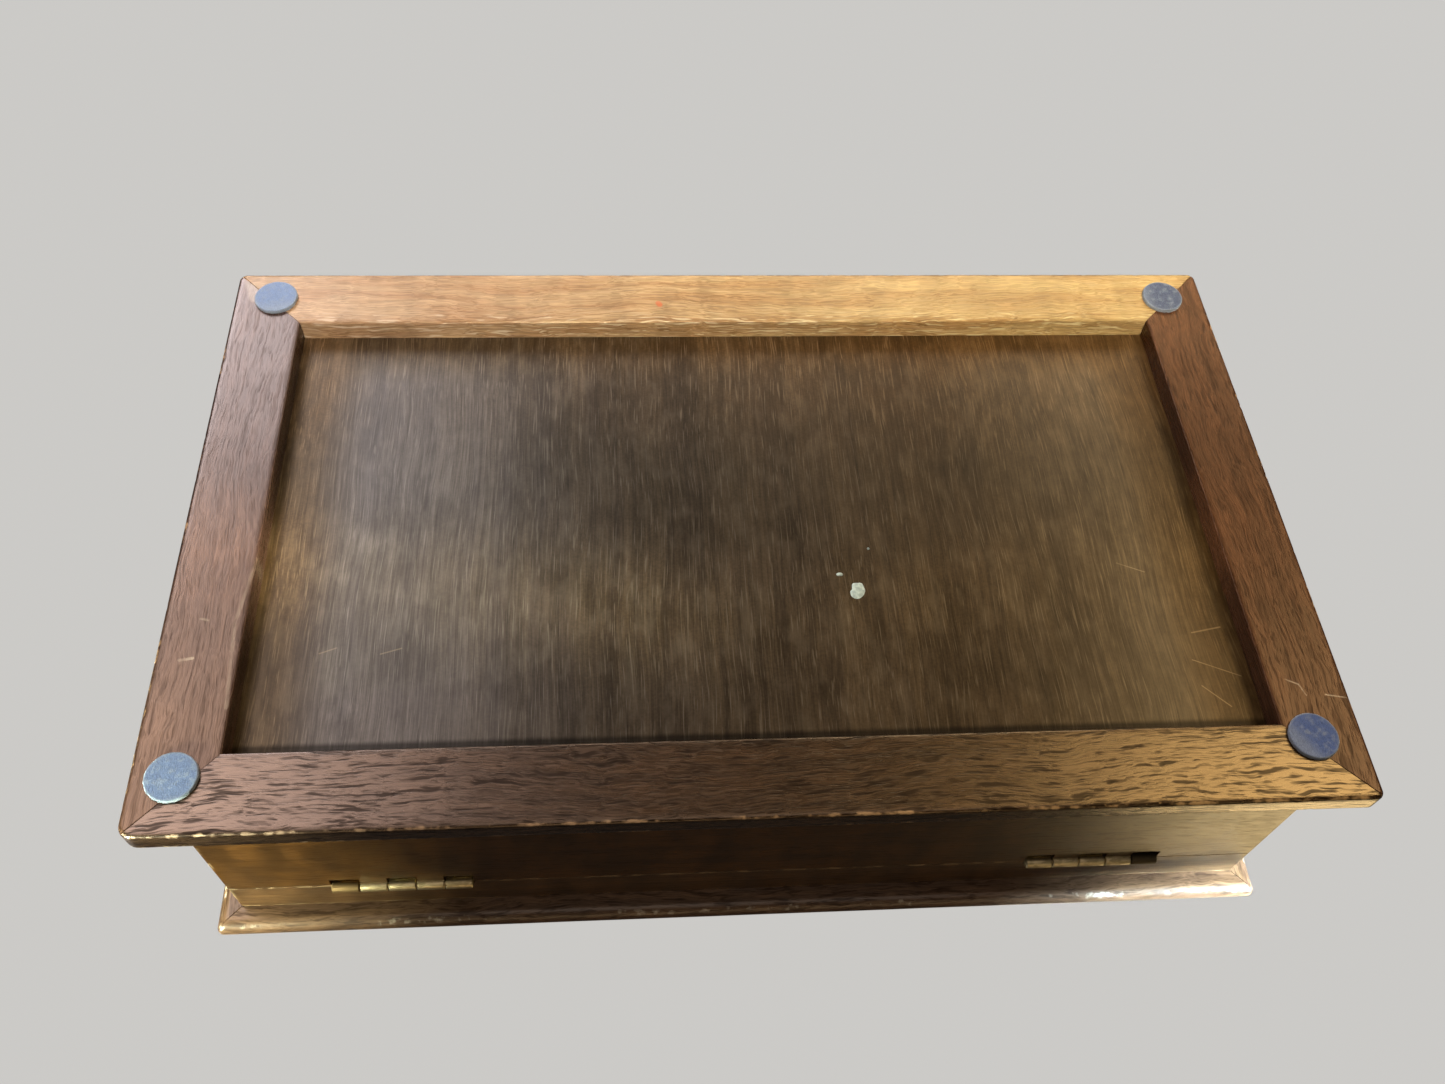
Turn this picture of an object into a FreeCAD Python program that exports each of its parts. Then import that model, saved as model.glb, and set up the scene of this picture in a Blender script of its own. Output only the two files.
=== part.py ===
import FreeCAD, Part

import math
import os

# A hinged wooden box, standing on four felt pads. Millimetres, +Z up, +X to the right and +Y to the back,
# where the hinges are. The origin is at the middle of the box, on the surface that the pads stand on.

# Outside sizes
LENGTH = 292.0  # base frame, left to right
WIDTH = 175.0  # base frame, front to back
STOCK = 6.3  # thickness of the stock of the base frame and the lid frame
WALL_INSET = 8.0  # from the base frame's edge to the walls
WALL = 9.5  # thickness of the walls and the lid rims
PARTING = 59.0  # height of the saw cut between walls and lid, and of the hinge axis
SAW_GAP = 0.2  # what stays open at the saw cut
LID_RIM_TOP = 72.6  # where the lid frame lies on the lid rims

# Base frame
BASE_RAIL = 20.0  # width of a rail
CORNER_R = 2.0  # rounding of the corners, seen from below
WORN_CORNER_R = 3.5  # the same at the back left corner, which is worn
EDGE_R = 0.9  # rounding of the lower outer edge
TOP_EDGE_R = 0.6  # rounding of the upper outer edge and of the recess's edge

# Bottom panel, which lies on the base frame and in a rabbet of the walls
PANEL = 3.0  # thickness of the plywood
RABBET = 4.0  # how far the rabbet reaches into the walls
PANEL_PLAY = 0.3  # between the panel's edge and the wood that holds it

# Felt pads: distance of each centre from the base frame's edge at the side, and at the front or back
PAD_R = 6.35
PAD = 1.2
PAD_CENTRES = {
    "back_left": (9.9, 14.0),
    "back_right": (13.1, 16.1),
    "front_left": (12.0, 10.2),
    "front_right": (13.0, 10.8),
}

# Lid frame and lid panel
LID_INSET = 1.6  # the lid frame's edge lies this far inside the base frame's
LID_RAIL = 30.0  # width of a rail
LID_CORNER_R = 1.5  # rounding of the corners, seen from above
LID_PANEL_DROP = 1.6  # from the lid frame's top down to the panel
GROOVE = 6.0  # depth of the groove that holds the panel
CHAMFER = 0.8  # on the frame's upper inner edge

# Hinges: five knuckles, of which the lower leaf has the second and the fourth
HINGE_CENTRE = 93.0  # from the middle of the box, along X
HINGE = 36.5  # length
KNUCKLES = 5
KNUCKLE_GAP = 0.35
KNUCKLE_CHAMFER = 0.2
BARREL_R = 1.55
PIN_R = 0.75
RUNNING = 0.04  # radial clearance of the pin in the lower leaf
AXIS_OUT = 0.3  # the axis stands this far outside the back wall
LEAF = 0.75  # thickness
LEAF_REACH = 8.0  # from the axis to the leaf's inner edge
KNUCKLE_CLEAR = 0.3  # round a knuckle that turns past wood or past the other leaf
NOTCH_DEPTH = 4.2  # the wall is cut away this deep behind the lid's knuckles
NOTCH_REACH = 2.4

# Hinge screws
SCREW_SPREAD = 11.0  # from the hinge's middle to each screw
SCREW_REACH = 4.8  # from the axis
SCREW_R = 1.1
SCREW_HEAD_R = 1.8
SCREW = 9.5  # length
SCREW_POINT = 2.5
SCREW_SLOT = 0.5
SCREW_SLOT_DEPTH = 0.35

SIDES = {"back": 0, "left": 90, "front": 180, "right": 270}  # degrees about +Z from the back
ENDS = {"left": -1, "right": 1}
BASE_TOP = PAD + STOCK
AXIS_Y = WIDTH / 2 - WALL_INSET + AXIS_OUT
UP = FreeCAD.Vector(0, 0, 1)
PAST = 1.0  # how far a cutting solid reaches past what it cuts


def at(x, y, z):
    return FreeCAD.Vector(x, y, z)


def block(low, high):
    """A box between two corners."""
    return Part.makeBox(*[b - a for a, b in zip(low, high)], at(*low))


def centred(half_x, half_y, low_z, high_z):
    """A box about the Z axis."""
    return block((-half_x, -half_y, low_z), (half_x, half_y, high_z))


def rod(radius, start, length, direction):
    return Part.makeCylinder(radius, length, start, direction)


def outline(side, inset):
    """Half of a side's length and its distance from the middle, for a rectangle inside the base frame."""
    half = [LENGTH / 2 - inset, WIDTH / 2 - inset]
    return half if side in ("front", "back") else half[::-1]


def mitred(side, inset, width, section):
    """One rail of a mitred frame. section(y) makes the face across the rail, whose outer edge is at y."""
    half, y = outline(side, inset)
    rail = section(y).extrude(at(2 * half, 0, 0))
    rail.translate(at(-half, 0, 0))
    return rail_of(rail, side, half, y, width)


def rail_of(shape, side, half, y, width):
    """What lies between the mitre cuts of a back rail, turned to its side."""
    reach = width + PAST
    corners = [(-half - PAST, y + PAST), (half + PAST, y + PAST), (half - reach, y - reach)]
    corners.append((reach - half, y - reach))
    low, high = shape.BoundBox.ZMin - PAST, shape.BoundBox.ZMax + PAST
    points = [at(*corner, low) for corner in corners]
    wedge = Part.Face(Part.makePolygon(points + points[:1])).extrude(UP * (high - low))
    rail = shape.common(wedge)
    rail.rotate(at(0, 0, 0), UP, SIDES[side])
    return rail


def polygon_section(points):
    """A face in the YZ plane from (y, z) points."""
    corners = [at(0, y, z) for y, z in points]
    return Part.Face(Part.makePolygon(corners + corners[:1]))


def edges_where(shape, wanted):
    return [edge for edge in shape.Edges if wanted(edge.BoundBox)]


def base_frame():
    """The whole base frame with its eased edges, before it is cut into rails."""
    half_x, half_y = LENGTH / 2, WIDTH / 2
    frame = centred(half_x, half_y, PAD, BASE_TOP)

    def corner(box, worn):
        upright = box.ZLength > STOCK / 2
        return upright and worn == (box.XMax < 0 < box.YMin)

    frame = frame.makeFillet(WORN_CORNER_R, edges_where(frame, lambda box: corner(box, True)))
    uprights = edges_where(frame, lambda box: box.ZLength > STOCK / 2 and box.XLength < 0.01)
    plain = [edge for edge in uprights if not (edge.BoundBox.XMax < 0 < edge.BoundBox.YMin)]
    frame = frame.makeFillet(CORNER_R, plain)
    frame = frame.makeFillet(EDGE_R, edges_where(frame, lambda box: box.ZMax < PAD + 0.01))
    frame = frame.makeFillet(TOP_EDGE_R, edges_where(frame, lambda box: box.ZMin > BASE_TOP - 0.01))
    inner_x, inner_y = half_x - BASE_RAIL, half_y - BASE_RAIL
    frame = frame.cut(centred(inner_x, inner_y, PAD - PAST, BASE_TOP + PAST))

    def recess_edge(box):
        inside = max(abs(box.XMin), abs(box.XMax)) < inner_x + 0.01
        inside = inside and max(abs(box.YMin), abs(box.YMax)) < inner_y + 0.01
        return inside and box.ZMax < PAD + 0.01

    return frame.makeFillet(TOP_EDGE_R, edges_where(frame, recess_edge))


def base_rails():
    frame = base_frame()
    rails = {}
    for side, turn in SIDES.items():
        turned = frame.copy()
        turned.rotate(at(0, 0, 0), UP, -turn)
        half, y = outline(side, 0)
        rails[f"base_rail_{side}"] = rail_of(turned, side, half, y, BASE_RAIL)
    return rails


def bottom_panel():
    grow = RABBET - PANEL_PLAY - WALL_INSET - WALL
    return centred(LENGTH / 2 + grow, WIDTH / 2 + grow, BASE_TOP, BASE_TOP + PANEL)


def wall_section(y):
    top = PARTING - SAW_GAP / 2
    inner = y - WALL
    step = BASE_TOP + PANEL
    points = [(y, BASE_TOP), (y, top), (inner, top), (inner, step)]
    return polygon_section(points + [(inner + RABBET, step), (inner + RABBET, BASE_TOP)])


def rim_section(y):
    low = PARTING + SAW_GAP / 2
    return polygon_section([(y, low), (y, LID_RIM_TOP), (y - WALL, LID_RIM_TOP), (y - WALL, low)])


def lid_rail_section(y):
    """A round outer edge, a groove for the panel and a chamfered upper inner edge."""
    low, high = LID_RIM_TOP, LID_RIM_TOP + STOCK
    flat, inner = y - STOCK / 2, y - LID_RAIL
    panel_top = high - LID_PANEL_DROP
    panel_low = panel_top - PANEL
    points = [(flat, high), (inner + CHAMFER, high), (inner, high - CHAMFER), (inner, panel_top)]
    points += [(inner + GROOVE, panel_top), (inner + GROOVE, panel_low), (inner, panel_low)]
    points += [(inner, low), (flat, low)]
    line = Part.makePolygon([at(0, *point) for point in points])
    middle = at(0, y, (low + high) / 2)
    edge = Part.Arc(at(0, flat, low), middle, at(0, flat, high)).toShape()
    return Part.Face(Part.Wire(line.Edges + [edge]))


def lid_rails():
    half_x, half_y = LENGTH / 2 - LID_INSET, WIDTH / 2 - LID_INSET
    plan = centred(half_x, half_y, LID_RIM_TOP - PAST, LID_RIM_TOP + STOCK + PAST)
    plan = plan.makeFillet(LID_CORNER_R, edges_where(plan, lambda box: box.ZLength > STOCK))
    rails = {}
    for side in SIDES:
        rail = mitred(side, LID_INSET, LID_RAIL, lid_rail_section)
        rails[f"lid_rail_{side}"] = rail.common(plan)
    return rails


def lid_panel():
    top = LID_RIM_TOP + STOCK - LID_PANEL_DROP
    grow = GROOVE - PANEL_PLAY - LID_INSET - LID_RAIL
    return centred(LENGTH / 2 + grow, WIDTH / 2 + grow, top - PANEL, top)


def felt_pads():
    pads = {}
    for place, (from_side, from_end) in PAD_CENTRES.items():
        x = LENGTH / 2 - from_side
        y = WIDTH / 2 - from_end
        x = -x if place.endswith("left") else x
        y = -y if place.startswith("front") else y
        pads[f"felt_pad_{place}"] = rod(PAD_R, at(x, y, 0), PAD, UP)
    return pads


# A hinge is made about its own axis, along X through the origin, with the walls towards -Y. The lower
# leaf and its screws lie below the axis. The upper ones are their mirror image above it.


def knuckle_spans(lower):
    """The start and length of each knuckle of the lower leaf, or of the upper one."""
    pitch = (HINGE + KNUCKLE_GAP) / KNUCKLES
    starts = [index * pitch - HINGE / 2 for index in range(KNUCKLES)]
    return [(start, pitch - KNUCKLE_GAP) for start in starts[1 if lower else 0 :: 2]]


def knuckle(start, length):
    barrel = rod(BARREL_R, at(start, 0, 0), length, at(1, 0, 0))
    ends = edges_where(barrel, lambda box: box.XLength < 0.01)
    barrel = barrel.makeChamfer(KNUCKLE_CHAMFER, ends)
    tongue = block((start, -BARREL_R - KNUCKLE_CLEAR, -BARREL_R), (start + length, 0, LEAF - BARREL_R))
    return barrel.fuse(tongue)


def screw(x):
    """A slotted countersunk wood screw that points down, with its head flush with the leaf."""
    top = LEAF - BARREL_R
    sink = SCREW_HEAD_R - SCREW_R
    place = at(x, -SCREW_REACH, top)
    head = Part.makeCone(SCREW_HEAD_R, SCREW_R, sink, place, -UP)
    shank = rod(SCREW_R, place, SCREW - SCREW_POINT, -UP)
    point = Part.makeCone(SCREW_R, 0, SCREW_POINT, place - UP * (SCREW - SCREW_POINT), -UP)
    return head.fuse([shank, point]).removeSplitter()


def slot(x):
    top = LEAF - BARREL_R
    reach = SCREW_HEAD_R + PAST
    low = (x - reach, -SCREW_REACH - SCREW_SLOT / 2, top - SCREW_SLOT_DEPTH)
    return block(low, (x + reach, SCREW_SLOT / 2 - SCREW_REACH, top + PAST))


def screw_places():
    return [-SCREW_SPREAD, SCREW_SPREAD]


def leaf(lower):
    low = (-HINGE / 2, -LEAF_REACH, -BARREL_R)
    plate = block(low, (HINGE / 2, -BARREL_R - KNUCKLE_CLEAR, LEAF - BARREL_R))
    plate = plate.fuse([knuckle(*span) for span in knuckle_spans(lower)])
    bore = PIN_R + (RUNNING if lower else 0)
    plate = plate.cut(rod(bore, at(-HINGE, 0, 0), 2 * HINGE, at(1, 0, 0)))
    return plate.cut([screw(x) for x in screw_places()]).removeSplitter()


def screws():
    return Part.makeCompound([screw(x).cut(slot(x)) for x in screw_places()])


def hinge_pin():
    pin = rod(PIN_R, at(-HINGE / 2, 0, 0), HINGE, at(1, 0, 0))
    return pin.makeChamfer(KNUCKLE_CHAMFER, edges_where(pin, lambda box: box.XLength < 0.01))


def hinge_room(lower):
    """The wood that a hinge takes out of the wall, or out of the lid rim: leaf, screws and turning knuckles."""
    half, outside = HINGE / 2 + KNUCKLE_CLEAR, BARREL_R + PAST
    room = block((-half, -LEAF_REACH, -BARREL_R), (half, outside, BARREL_R))
    depth = NOTCH_DEPTH if lower else BARREL_R + KNUCKLE_CLEAR
    reach = NOTCH_REACH if lower else BARREL_R + KNUCKLE_CLEAR
    cuts = [screw(x) for x in screw_places()]
    for start, length in knuckle_spans(not lower):
        end = start + length + KNUCKLE_CLEAR
        cuts.append(block((start - KNUCKLE_CLEAR, -reach, -depth), (end, outside, 0)))
    return room.fuse(cuts)


def placed(shape, end, lower):
    """A hinge's piece at its end of the box."""
    if not lower:
        shape = shape.mirror(at(0, 0, 0), UP)
    shape.translate(at(ENDS[end] * HINGE_CENTRE, AXIS_Y, PARTING))
    return shape


def hinges():
    pieces = {}
    for end in ENDS:
        for height, lower in (("lower", True), ("upper", False)):
            pieces[f"hinge_leaf_{height}_{end}"] = placed(leaf(lower), end, lower)
            pieces[f"hinge_screws_{height}_{end}"] = placed(screws(), end, lower)
        pieces[f"hinge_pin_{end}"] = placed(hinge_pin(), end, True)
    return pieces


def walls_and_rims():
    pieces = {}
    for side in SIDES:
        pieces[f"wall_{side}"] = mitred(side, WALL_INSET, WALL, wall_section)
        pieces[f"lid_rim_{side}"] = mitred(side, WALL_INSET, WALL, rim_section)
    for node, lower in (("wall_back", True), ("lid_rim_back", False)):
        rooms = [placed(hinge_room(lower), end, lower) for end in ENDS]
        pieces[node] = pieces[node].cut(rooms)
    return pieces


def build():
    pieces = {"bottom_panel": bottom_panel(), "lid_panel": lid_panel()}
    for group in (base_rails(), walls_and_rims(), lid_rails(), felt_pads(), hinges()):
        pieces.update(group)
    return pieces


os.makedirs("parts", exist_ok=True)
for name, piece in build().items():
    piece.exportStep(f"parts/{name}.step")
    print(f"{name}: {len(piece.Solids)} solid, {piece.Volume:.1f} mm3, valid {piece.isValid()}")
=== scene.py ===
"""A hinged wooden box with worn edges, standing on felt pads and shown from underneath.

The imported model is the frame. The rails of the base and of the lid and the felt pads are built here again
with their wear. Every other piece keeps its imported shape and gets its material. Lengths are in
millimetres, but for those of the lights and the camera, which are in metres.
"""

import math

import bpy
from mathutils import Matrix, Vector, noise


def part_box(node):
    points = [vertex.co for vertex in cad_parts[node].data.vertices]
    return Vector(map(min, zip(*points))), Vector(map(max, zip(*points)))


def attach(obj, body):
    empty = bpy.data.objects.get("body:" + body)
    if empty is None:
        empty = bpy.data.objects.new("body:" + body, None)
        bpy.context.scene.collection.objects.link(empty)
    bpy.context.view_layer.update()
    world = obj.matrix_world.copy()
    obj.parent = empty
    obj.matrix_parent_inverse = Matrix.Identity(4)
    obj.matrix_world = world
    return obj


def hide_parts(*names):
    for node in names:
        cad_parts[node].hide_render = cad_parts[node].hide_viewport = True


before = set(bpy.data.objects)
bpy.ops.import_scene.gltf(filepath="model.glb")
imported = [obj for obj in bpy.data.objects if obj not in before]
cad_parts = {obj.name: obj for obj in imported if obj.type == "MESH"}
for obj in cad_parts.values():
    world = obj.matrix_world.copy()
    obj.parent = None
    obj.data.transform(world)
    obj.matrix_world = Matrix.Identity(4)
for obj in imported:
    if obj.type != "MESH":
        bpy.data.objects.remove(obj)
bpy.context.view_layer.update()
MM = 0.001
OUTWARD = {"back": (0, 1), "left": (-1, 0), "front": (0, -1), "right": (1, 0)}
GRAIN = {"back": "X", "left": "Y", "front": "X", "right": "Y"}


def box_mm(node):
    """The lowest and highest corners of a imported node, in millimetres."""
    return [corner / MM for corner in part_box(node)]


# Materials ----------------------------------------------------------------------------------------------


class Shader:
    """One material. Each method adds a node and gives its output, and takes numbers or other outputs."""

    def __init__(self, name):
        self.material = bpy.data.materials.new(name)
        self.material.use_nodes = True
        self.tree = self.material.node_tree
        self.tree.nodes.clear()

    def add(self, kind, inputs, output=0, **settings):
        node = self.tree.nodes.new(kind)
        for key, value in settings.items():
            setattr(node, key, value)
        for key, value in inputs.items():
            if isinstance(value, bpy.types.NodeSocket):
                self.tree.links.new(value, node.inputs[key])
            elif value is not None:
                node.inputs[key].default_value = value
        return node.outputs[output]

    def math(self, operation, first, second=None, clamp=False):
        inputs = {0: first, 1: second}
        return self.add("ShaderNodeMath", inputs, operation=operation, use_clamp=clamp)

    def times(self, first, second):
        return self.math("MULTIPLY", first, second)

    def plus(self, first, second):
        return self.math("ADD", first, second)

    def vector(self, operation, first, second=None, output=0):
        return self.add("ShaderNodeVectorMath", {0: first, 1: second}, output, operation=operation)

    def place(self):
        """Where the point is on its piece, in millimetres."""
        where = self.add("ShaderNodeTexCoord", {}, "Object")
        return self.vector("MULTIPLY", where, (1 / MM,) * 3)

    def axes(self, vector):
        split = self.tree.nodes.new("ShaderNodeSeparateXYZ")
        self.tree.links.new(vector, split.inputs[0])
        return list(split.outputs)

    def joined(self, x, y, z):
        return self.add("ShaderNodeCombineXYZ", {0: x, 1: y, 2: z})

    def noise(self, vector, stretch=(1, 1, 1), detail=2.0, roughness=0.5, distortion=0.0, output=0):
        """A noise whose spots are about 1 / stretch long on each axis."""
        inputs = {"Vector": self.vector("MULTIPLY", vector, stretch), "Scale": 1.0, "Detail": detail,
                  "Roughness": roughness, "Distortion": distortion}
        return self.add("ShaderNodeTexNoise", inputs, output)

    def sway(self, along, stretch, reach):
        """How far grain that runs along the first axis sways to either side, at most reach in all."""
        drift = self.noise(along, stretch, detail=1.0, output=1)
        return self.vector("MULTIPLY", self.vector("SUBTRACT", drift, (0.5,) * 3), (0.0, reach, reach))

    def ease(self, value, low, high, start=0.0, end=1.0):
        """Goes smoothly from start to end as the value goes from low to high."""
        inputs = {"Value": value, "From Min": low, "From Max": high, "To Min": start, "To Max": end}
        return self.add("ShaderNodeMapRange", inputs, interpolation_type="SMOOTHSTEP")

    def mix(self, share, first, second):
        inputs = {0: share, 6: colour(first), 7: colour(second)}
        return self.add("ShaderNodeMix", inputs, 2, data_type="RGBA")

    def shaded(self, base, amount):
        """The colour times a number."""
        return self.vector("MULTIPLY", base, self.joined(amount, amount, amount))

    def bump(self, height, distance):
        inputs = {"Height": height, "Distance": distance * MM, "Strength": 1.0}
        return self.add("ShaderNodeBump", inputs)

    def finish(self, **inputs):
        """The surface's shader, by the names of its inputs, and the material that it makes."""
        named = {key.replace("_", " "): value for key, value in inputs.items()}
        surface = self.add("ShaderNodeBsdfPrincipled", named)
        output = self.tree.nodes.new("ShaderNodeOutputMaterial")
        self.tree.links.new(surface, output.inputs["Surface"])
        return self.material


def colour(value):
    """An output as it is, or three numbers with an alpha of 1."""
    return value if isinstance(value, bpy.types.NodeSocket) else (*value, 1.0)


def edge_distance(shader, where, low, high):
    """How far a point on a packed board is from the nearest edge of the board's box."""
    middle = (low + high) / 2
    half = (high - low) / 2
    offset = shader.vector("ABSOLUTE", shader.vector("SUBTRACT", where, tuple(middle)))
    x, y, z = shader.axes(shader.vector("SUBTRACT", tuple(half), offset))
    nearer = shader.math("MINIMUM", x, y)
    further = shader.math("MAXIMUM", x, y)
    return shader.math("MAXIMUM", nearer, shader.math("MINIMUM", further, z))


def scratch(shader, where, start, end, width):
    """One on a straight scratch between two points seen from below, and nothing away from it."""
    start, end = Vector((*start, 0)), Vector((*end, 0))
    run = end - start
    x, y = shader.axes(shader.vector("SUBTRACT", where, tuple(start)))[:2]
    flat = shader.joined(x, y, 0.0)
    share = shader.vector("DOT_PRODUCT", flat, tuple(run / run.length_squared), output=1)
    share = shader.math("ADD", share, 0.0, clamp=True)  # no further than either end
    nearest = shader.add("ShaderNodeVectorMath", {0: tuple(run), "Scale": share}, operation="SCALE")
    gap = shader.vector("DISTANCE", flat, nearest, output=1)
    return shader.ease(gap, width / 2, width, 1.0, 0.0)


def most(shader, values):
    """The largest of several outputs."""
    total = values[0]
    for value in values[1:]:
        total = shader.math("MAXIMUM", total, value)
    return total


HUE_REACH = 120.0  # how far along a rail its colour goes on changing
PLAIN = (1.0, 1.0, 1.0)
LACQUER_IOR = 1.6


def along_grain(shader, run, across, z, seed):
    """Coordinates along, across and through the grain, at a place of its own for each seed."""
    return shader.joined(shader.plus(run, 31.0 * seed), shader.plus(across, 17.0 * seed), z)


def lacquered(shader, base, rough, relief, shine, gleam):
    """The material of a lacquered surface, whose reflections have the colour gleam."""
    normal = shader.bump(relief, 0.03)
    return shader.finish(Base_Color=base, Roughness=rough, Normal=normal, IOR=LACQUER_IOR,
                         Specular_IOR_Level=shine, Specular_Tint=gleam)


def board_wear(shader, where, patchy, board):
    """How bare a packed board is at its arrises."""
    edge = edge_distance(shader, where, *box_mm(board))
    wear = shader.ease(edge, 0.15, 0.9, 1.0, 0.0)
    wear = shader.times(wear, shader.ease(patchy, 0.45, 0.62))
    return shader.times(wear, 0.3)


def built_wear(shader, where):
    """How bare a piece that is built here is, from its own attribute, broken up by grit."""
    rubbed = shader.add("ShaderNodeAttribute", {}, "Fac", attribute_name="wear")
    grit = shader.noise(where, (0.5, 0.5, 0.5), detail=3.0)
    return shader.ease(shader.plus(rubbed, shader.ease(grit, 0.3, 0.7, -0.35, 0.15)), 0.15, 0.65)


def inner_wear(shader, bent, y, inner):
    """How bare a rail is beside its inner edge, which lies at that y."""
    pale = shader.ease(shader.noise(bent, (0.10, 1.4, 1.4), detail=2.0), 0.56, 0.68)
    beside = shader.ease(shader.math("ABSOLUTE", shader.plus(y, -inner)), 1.0, 6.0, 0.9, 0.0)
    return shader.times(pale, beside)


def wood(name, grain, tones, seed, streaks=(0.11, 0.9), streak_depth=0.6, fine_depth=0.45, figure=0.12,
         roughness=0.31, board=None, worn=(0.42, 0.30, 0.18), marks=(), bands=(0.004, 0.3), shine=0.5,
         tint=PLAIN, inner=None, hues=None):
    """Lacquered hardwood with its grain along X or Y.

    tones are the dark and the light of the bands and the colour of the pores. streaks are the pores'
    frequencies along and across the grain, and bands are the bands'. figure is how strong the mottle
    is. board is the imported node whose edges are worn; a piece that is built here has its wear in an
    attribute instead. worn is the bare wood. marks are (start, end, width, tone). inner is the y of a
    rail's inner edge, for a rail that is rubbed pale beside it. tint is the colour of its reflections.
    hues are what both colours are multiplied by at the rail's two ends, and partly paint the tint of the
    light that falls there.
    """
    shader = Shader(name)
    where = shader.place()
    x, y, z = shader.axes(where)
    run, across = (x, y) if grain == "X" else (y, x)
    along = along_grain(shader, run, across, z, seed)
    drift = shader.sway(along, (0.018, 0.04, 0.04), 9.0)
    ripple = shader.sway(along, (0.14, 0.22, 0.22), 1.6)
    bent = shader.vector("ADD", along, shader.vector("ADD", drift, ripple))

    band = shader.ease(shader.noise(bent, (bands[0], bands[1], bands[1]), detail=2.0), 0.35, 0.65)
    fibre = shader.noise(bent, (0.07, 3.2, 3.2), detail=2.0)
    pore = shader.noise(bent, (streaks[0], streaks[1], streaks[1]), detail=2.0, roughness=0.6)
    pore = shader.ease(pore, 0.49, 0.67)
    fine = shader.ease(shader.noise(bent, (0.16, 2.6, 2.6), detail=1.0), 0.56, 0.70)
    mottle = shader.noise(along, (0.13, 0.05, 0.05), detail=2.0)
    dark, light, pores = tones
    base = shader.mix(band, dark, light)
    base = shader.mix(shader.times(pore, streak_depth), base, pores)
    base = shader.mix(shader.times(fine, fine_depth), base, pores)
    base = shader.shaded(base, shader.ease(fibre, 0.25, 0.75, 0.74, 1.26))
    base = shader.shaded(base, shader.ease(mottle, 0.3, 0.7, 1 - figure, 1 + figure))

    patchy = shader.noise(where, (0.25, 0.25, 0.25), detail=3.0)
    wear = board_wear(shader, where, patchy, board) if board else built_wear(shader, where)
    if inner is not None:
        wear = shader.math("MAXIMUM", wear, inner_wear(shader, bent, y, inner))
    base = shader.mix(wear, base, worn)
    # Partly painted light: the tint of the light that falls at each end of the rail.
    if hues:
        hue = shader.mix(shader.ease(run, -HUE_REACH, HUE_REACH), *hues)
        base = shader.vector("MULTIPLY", base, hue)
        tint = shader.vector("MULTIPLY", tint, hue)
    for start, end, width, tone in marks:
        mark = scratch(shader, where, start, end, width)
        base = shader.mix(shader.times(mark, shader.ease(patchy, 0.35, 0.55, 0.3, 0.75)), base, tone)

    rough = shader.ease(fibre, 0.2, 0.8, roughness - 0.03, roughness + 0.05)
    rough = shader.plus(rough, shader.times(pore, 0.08))
    rough = shader.plus(rough, shader.times(wear, 0.2))
    pore_shade = shader.ease(pore, 0.0, 1.0, 1.0, 1.0 - 0.85 * streak_depth)
    fine_shade = shader.ease(fine, 0.0, 1.0, 1.0, 1.0 - 0.85 * fine_depth)
    sheen = shader.times(pore_shade, fine_shade)
    sheen = shader.times(sheen, shader.ease(fibre, 0.25, 0.75, 0.75, 1.0))
    relief = shader.plus(shader.times(fibre, 0.5), shader.times(pore, -0.8 * streak_depth))
    relief = shader.plus(relief, shader.times(fine, -fine_depth))
    relief = shader.plus(relief, shader.times(wear, -0.6))
    return lacquered(shader, base, rough, relief, shine, shader.shaded(tint, sheen))


PLY_SCRATCH = (0.17, 0.14, 0.09)
# The left and right hues are partly the panel's own colour and partly painted cool light at the left and
# warm light at the right.
PLY_LEFT_HUE_AND_COOL_LIGHT = (0.97, 1.0, 1.08)
PLY_RIGHT_HUE_AND_WARM_LIGHT = (1.14, 0.94, 0.64)
# The front and back hues are partly painted light and shade: brighter at the front, darker at the back.
PLY_FRONT_HUE_AND_LIGHT = (1.28, 1.30, 1.28)
PLY_BACK_HUE_AND_SHADE = (0.88, 0.97, 1.0)
PLY_EDGE_HUE = (1.16, 1.03, 0.80)
# Painted light along the left edge of the opening.
PLY_LEFT_EDGE_LIGHT = (2.0, 1.62, 1.10)
PLY_LEFT_GLEAM = (0.94, 0.96, 1.0)
PLY_RIGHT_GLEAM = (0.88, 0.77, 0.58)


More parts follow.
